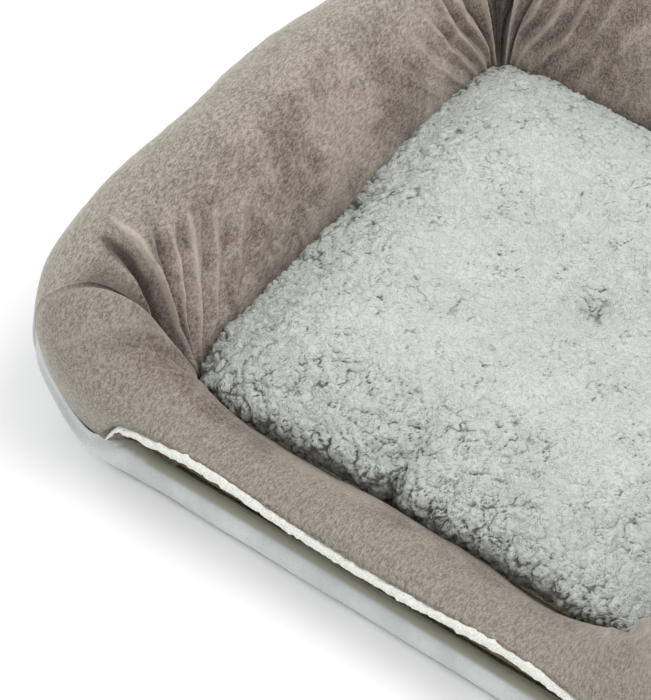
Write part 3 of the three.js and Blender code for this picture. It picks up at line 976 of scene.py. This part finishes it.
def layer(name, node, slot, half, radius, low, high, finish, front_half=None, rings=14, unevenness=0.3):
    """A level layer with rounded edges, closed all round."""
    around = 144
    ring = ring_outline(half, radius, front_half or half, around)
    middle = (low + high) / 2
    round_by = min((high - low) / 2, 3)
    profile = [(share, low) for share in np.linspace(0.04, 1, rings)]
    profile = [(s * (1 - round_by / half), z) for s, z in profile]
    profile += [(1.0, middle)]
    profile += [(s * (1 - round_by / half), high) for s in np.linspace(1, 0.04, rings)]
    loops = np.array([[(x * s, y * s, z) for x, y in ring] for s, z in profile])
    points = loops.reshape(-1, 3)
    points[:, 2] += unevenness * drift(points * np.array([1, 1, 0]), 40, 50) * (points[:, 2] > middle)
    made = mesh_piece(name, points, skin_faces(len(loops), around), finish)
    hand_over(made, "bed", slot, node)
    return made


def build_layers(velvet, lining, foam, grip, dots):
    base_half = NEST_HALF + 56
    nest_half = NEST_HALF - 2
    made = layer("base_grip", "base_grip_sheet", "grip", base_half, 40, 0.35, 1.2, grip, unevenness=0)
    add_grip_dots(base_half, dots)
    made = layer("base_pad", "base_foam", "foam", base_half, 40, 1.5, 11.0, foam)
    made = layer("cave_floor", "cave_floor_lining", "lining", base_half - 2, 38, 11.4, 12.4, lining,
                 front_half=210, unevenness=0.2)
    made = layer("nest_lining", "nest_floor_lining", "lining", nest_half, 12, 13, 14, lining, unevenness=0)
    made = layer("nest_pad", "nest_floor_foam", "foam", nest_half, 12, 14.4, 25.6, foam)
    made = layer("nest_floor", "nest_floor_panel", "velvet", NEST_HALF - 1, 12, 26, 27.7, velvet,
                 rings=40, unevenness=0.25)


def add_grip_dots(half, finish):
    """Rows of small rubber domes under the grip sheet, round its edge."""
    corners, faces = [], []
    pitch, size, sides = 11.0, 2.0, 8
    rows = int((half - 14) // pitch)
    for i in range(-rows, rows + 1):
        for j in range(-rows, rows + 1):
            x = (i + 0.5 * (j % 2)) * pitch
            y = j * pitch
            if max(abs(x), abs(y)) > half - 8 or min(abs(x), abs(y)) > half - 30:
                continue
            first = len(corners)
            for share, level in ((1.0, 0.5), (0.8, 0.12), (0.35, 0.0)):
                for k in range(sides):
                    angle = 2 * math.pi * k / sides
                    reach = size * share
                    corners.append((x + reach * math.cos(angle), y + reach * math.sin(angle), level))
            faces.extend(skin_faces(3, sides, first))
    made = mesh_piece("base_dots", corners, faces, finish)
    hand_over(made, "bed", "grip")


def build_mouth(lining, foam):
    """The lining over the mouth's roof and the foam bar in its sill."""
    count = 60
    run = np.linspace(-1, 1, count)
    row = mouth_row(run, 0.67)
    velvet = velvet_over("front", row, 20)
    inside = velvet + inwards_of(velvet) * 4.9
    roof = through(np.stack(roof_lines(inside[:, 0], inside[:, -1], lower=0.5), 1), 16)
    roof[..., 2] -= 0.25 * drift(roof, 22, 61) + 0.3
    below = roof - np.array([0, 0, 0.9])
    loops = np.concatenate([roof, below[:, ::-1]], 1)
    made = mesh_piece("mouth_roof", loops.reshape(-1, 3), skin_faces(count, loops.shape[1]), lining)
    hand_over(made, "bed", "lining", "mouth_roof_lining")
    section = ((44, 12.9), (52, 12.9), (60, 12.9), (62, 15), (60.5, 20.5), (58.5, 24), (56, 17), (50, 14.6))
    bar = np.array([[(x, -NEST_HALF - out, z) for out, z in section] for x in np.linspace(-150, 150, 61)])
    bar[..., 2] += 0.15 * drift(bar, 14, 62)
    sill = mesh_piece("sill_pad", bar.reshape(-1, 3), skin_faces(61, len(section)), foam)
    hand_over(sill, "bed", "foam", "sill_foam")


# ---------------------------------------------------------------- cushion

# The cushion's section from its middle to its foot: share of the way out, and height
CUSHION_SECTION = (
    (0.0, 75.0), (0.22, 75.5), (0.45, 75.0), (0.66, 73.5), (0.82, 69.5), (0.93, 62.5),
    (0.985, 53.5), (1.0, 44.5), (0.985, 36.0), (0.95, 30.5), (0.90, 28.8))


def cushion_grid(cells):
    """Square rings over the top and down the sides, each ring on the cushion's own rounded outline."""
    shares = np.array(CUSHION_SECTION)
    line = np.stack([shares[:, 0] * CUSHION_HALF, shares[:, 1], 0 * shares[:, 0]], -1)[None]
    section = through(line, 200)[0]
    span = np.linspace(-1, 1, cells + 1)
    u, v = np.meshgrid(span, span, indexing="ij")
    ring = np.maximum(np.abs(u), np.abs(v))
    angle = np.arctan2(v, u)
    way = np.stack([np.cos(angle), np.sin(angle)], -1)
    # the rings turn from squares at the middle to the cushion's outline at its edge
    power = lerp(16.0, 13.0, ring)
    reach = 1 / (np.abs(way[..., 0]) ** power + np.abs(way[..., 1]) ** power) ** (1 / power)
    out = np.interp(ring, np.linspace(0, 1, 201), section[:, 0])
    level = np.interp(ring, np.linspace(0, 1, 201), section[:, 1])
    x, y = way[..., 0] * reach * out, way[..., 1] * reach * out
    return np.stack([x, y, level], -1)


def cushion_shape(points):
    """The tuft, the troughs from it to the sides, the pulled-in corners and the crease at the front."""
    x, y, z = points[..., 0].copy(), points[..., 1].copy(), points[..., 2].copy()
    tx, ty = TUFT_AT
    top = smooth(z, 40, 70)
    away = np.hypot(x - tx, y - ty)
    tuft_depth, dish_depth, trough_depth, corner_drop, crease_depth = 19, 6, 7, 9, 7
    z -= top * (tuft_depth * bell(away, 24) + dish_depth * bell(away, 55))
    for way_x, way_y in ((1, 0.06), (-1, -0.1), (0.05, 1), (-0.14, -1)):
        length = math.hypot(way_x, way_y)
        run = ((x - tx) * way_x + (y - ty) * way_y) / length
        off = ((x - tx) * way_y - (y - ty) * way_x) / length
        z -= top * trough_depth * bell(off, 17) * smooth(run, 5, 60) * (1 - 0.35 * smooth(run, 90, 165))
    y -= 4 * smooth(-y, 125, 168) * smooth(z, 30, 42)
    corner = smooth(np.abs(x * y) / CUSHION_HALF ** 2, 0.45, 0.95)
    z -= top * corner_drop * corner
    notch = bell(x + 16, 5.5) * smooth(-y, 120, 166) * smooth(z, 30, 50)
    y += crease_depth * notch
    z -= 5 * notch
    side = smooth(np.abs(x), 130, 165) * bell(y - 20, 95) * smooth(z, 28, 45)
    x += np.sign(x) * 5 * side
    return np.stack([x, y, z], -1)


def near_tuft(points, reach):
    return bell(np.hypot(points[:, 0] - TUFT_AT[0], points[:, 1] - TUFT_AT[1]), reach)


def cushion_piece(fleece):
    """The cushion's skin as a grid of cells, with one large face for its foot."""
    cells = 108
    around = cells + 1
    points = cushion_shape(cushion_grid(cells)).reshape(-1, 3)
    faces = []
    for i in range(cells):
        for j in range(cells):
            a = i * around + j
            faces.append((a, a + around, a + around + 1, a + 1))
    edge = [i * around for i in range(cells)]
    edge += [cells * around + j for j in range(cells)]
    edge += [i * around + cells for i in range(cells, 0, -1)]
    edge += list(range(cells, 0, -1))
    faces.append(tuple(reversed(edge)))
    made = mesh_piece("cushion", points, faces, fleece)
    at_foot = (points[:, 2] < CUSHION_FOOT + 2.9) * 1.0
    plumped(made, np.maximum(at_foot, near_tuft(points, 9) > 0.4), 3.5, 7)
    return made


def open_foot(shell):
    """Takes the one large face off the foot while the rest is made finer."""
    large = [face for face in shell.faces if len(face.verts) > 4]
    bmesh.ops.delete(shell, geom=large, context="FACES_ONLY")


def close_foot(shell):
    rim = [edge for edge in shell.edges if edge.is_boundary]
    bmesh.ops.holes_fill(shell, edges=rim, sides=0)
    turn_out(shell)


def puffs(points, size, seed):
    """Round puffs with narrow valleys between them, and how deep in a valley each point is."""
    rise = np.abs(drift(points, size, seed))
    return np.minimum(rise * 2.4, 1) ** 0.75, 1 - smooth(rise, 0.0, 0.09)


def raise_pile(made):
    """Curls of fleece raised out of the surface, with narrow valleys between them."""
    points, normals = read_points(made), read_normals(made)
    lifted = smooth(points[:, 2], CUSHION_FOOT + 3, CUSHION_FOOT + 9)
    steep = 1 - smooth(normals[:, 2], 0.5, 0.9)
    bend = np.stack([drift(points, 9, 71 + k) for k in range(3)], -1)
    curl = np.stack([drift(points, 4, 75 + k) for k in range(3)], -1)
    warped = points + 3.0 * bend + 1.1 * curl
    loose = smooth(drift(points, 34, 84) + 0.7 * drift(points, 14, 85), -0.35, 0.5)
    outer = smooth(np.maximum(np.abs(points[:, 0]), np.abs(points[:, 1])), 80, 160)
    outer = outer * smooth(-points[:, 0] - points[:, 1], -120, 120)
    strength = 0.45 + 0.35 * loose + 0.6 * steep + 0.4 * outer
    large, large_valley = puffs(warped, 11, 80)
    small, small_valley = puffs(warped + 20, 6.0, 81)
    fine, fine_valley = puffs(warped + 50, 3.4, 82)
    broken = smooth(drift(points, 8, 86), -0.15, 0.35)
    height = strength * (1.5 * large + 1.1 * small + 0.6 * fine)
    height += drift(points, 24, 87)
    depth = large_valley * 0.75 + small_valley * (0.15 + 0.75 * broken) + fine_valley * 0.45 * broken
    depth = np.clip(depth * (0.3 + 0.3 * loose + 0.4 * steep + 0.35 * outer), 0, 1)
    low = 1 - smooth(points[:, 2], 36, 60)
    depth = np.clip(depth + 0.75 * low, 0, 1)
    # pile_depth carries painted shade: darker in the valleys between the puffs and down the cushion's lower
    # sides.
    keep_attribute(made, "pile_depth", depth)
    # toward_edge also gives painted shade to the fleece towards its front left edges.
    keep_attribute(made, "toward_edge", outer)
    sideways = (0.8 * bend + 0.5 * curl) * strength[:, None]
    write_points(made, points + (normals * height[:, None] + sideways) * lifted[:, None])


def build_cushion(fleece):
    made = cushion_piece(fleece)
    rework(made, open_foot)
    subdivided(made, 2)
    raise_pile(made)
    rework(made, close_foot)
    made.data.shade_smooth()
    hand_over(made, "cushion", "fleece", "cushion_top", "cushion_fill")


def build_underside(ticking):
    """The plain cloth under the cushion, pulled up a little at the tuft."""
    around = 160
    ring = ring_outline(CUSHION_HALF * 0.93, 34, CUSHION_HALF * 0.93, around)
    profile = [(s, 28.5) for s in np.linspace(0.03, 0.985, 26)]
    profile += [(1.0, 29.3)]
    profile += [(s, 30.1) for s in np.linspace(0.985, 0.03, 8)]
    loops = np.array([[(x * s, y * s, z) for x, y in ring] for s, z in profile])
    points = loops.reshape(-1, 3)
    points[:, 2] += (2.2 * near_tuft(points, 14) + 0.15 * drift(points, 18, 91)) * (points[:, 2] < 29)
    base = mesh_piece("cushion_underside_cloth", points, skin_faces(len(loops), around), ticking)
    hand_over(base, "cushion", "ticking", "cushion_underside")


def build_stitch(thread):
    """A cross of thread pulled into the underside, with its shank up through the cushion."""
    corners, faces = [], []
    around = 8

    def run(line, size):
        first = len(corners)
        line = np.array(line, float)
        ahead = np.gradient(line, axis=0)
        ahead /= np.linalg.norm(ahead, axis=1, keepdims=True)
        side = np.cross(ahead, np.array([0.31, 0.62, 0.72]))
        side /= np.linalg.norm(side, axis=1, keepdims=True)
        third = np.cross(ahead, side)
        for at, a, b in zip(line, side, third):
            for k in range(around):
                angle = 2 * math.pi * k / around
                corners.append(at + size * (a * math.cos(angle) + b * math.sin(angle)))
        faces.extend(skin_faces(len(line), around, first))

    tx, ty = TUFT_AT
    for turn in (math.radians(40), math.radians(130)):
        arch = [
            (tx + 5 * math.cos(turn) * c, ty + 5 * math.sin(turn) * c, 31.0 - 1.4 * (1 - c * c))
            for c in np.linspace(-1, 1, 11)]
        run(arch, 0.45)
    run([(tx, ty, z) for z in np.linspace(30.5, 54, 9)], 0.8)
    knot = mesh_piece("tuft_stitch", np.array(corners), faces, thread)
    hand_over(knot, "cushion", "thread", "cushion_stitch")


# ---------------------------------------------------------------- camera, floor and light

CAMERA_AZIMUTH = math.radians(36.56)
CAMERA_ELEVATION = math.radians(50.89)
CAMERA_DISTANCE = 2.0
CAMERA_TARGET = NEST + Vector((-0.1131, -0.1080, 0.050))


def build_camera():
    data = bpy.data.cameras.new("camera")
    data.sensor_width = 36
    data.lens = 161.6
    camera = put_in_scene("camera", data)
    back = Vector((
        math.sin(CAMERA_AZIMUTH) * math.cos(CAMERA_ELEVATION),
        -math.cos(CAMERA_AZIMUTH) * math.cos(CAMERA_ELEVATION),
        math.sin(CAMERA_ELEVATION)))
    camera.location = CAMERA_TARGET + back * CAMERA_DISTANCE
    camera.rotation_euler = (-back).to_track_quat("-Z", "Y").to_euler()
    bpy.context.scene.camera = camera


def build_floor():
    mesh = bpy.data.meshes.new("floor")
    size = 4.0
    corners = [(-size, -size, 0), (size, -size, 0), (size, size, 0), (-size, size, 0)]
    mesh.from_pydata(corners, [], [(0, 1, 2, 3)])
    mesh.materials.append(floor_finish())
    put_in_scene("floor", mesh)


def area_light(name, at, toward, size, power):
    data = bpy.data.lights.new(name, "AREA")
    data.shape = "DISK"
    data.size = size
    data.energy = power
    light = put_in_scene(name, data)
    light.location = at
    light.rotation_euler = (Vector(toward) - Vector(at)).to_track_quat("-Z", "Y").to_euler()


def build_light():
    world = bpy.data.worlds.new("studio")
    bpy.context.scene.world = world
    world.use_nodes = True
    world.node_tree.nodes["Background"].inputs["Color"].default_value = (1.0, 1.0, 1.0, 1)
    world.node_tree.nodes["Background"].inputs["Strength"].default_value = 1.0
    area_light("key", (0.6, 0.4, 2.3), (0, 0, 0.05), 1.2, 18)
    bpy.context.scene.view_settings.view_transform = "Standard"


def main():
    build_camera()
    velvet = velvet_finish()
    plush = plush_finish()
    lining = lining_finish()
    foam = foam_finish()
    build_walls(velvet)
    build_panels(plush)
    build_lip(binding_finish())
    build_mouth(lining, foam)
    build_layers(velvet, lining, foam, grip_finish(), dot_finish())
    fleece, ticking, thread = fleece_finish(), ticking_finish(), thread_finish()
    build_cushion(fleece)
    build_underside(ticking)
    build_stitch(thread)
    build_floor()
    build_light()


main()
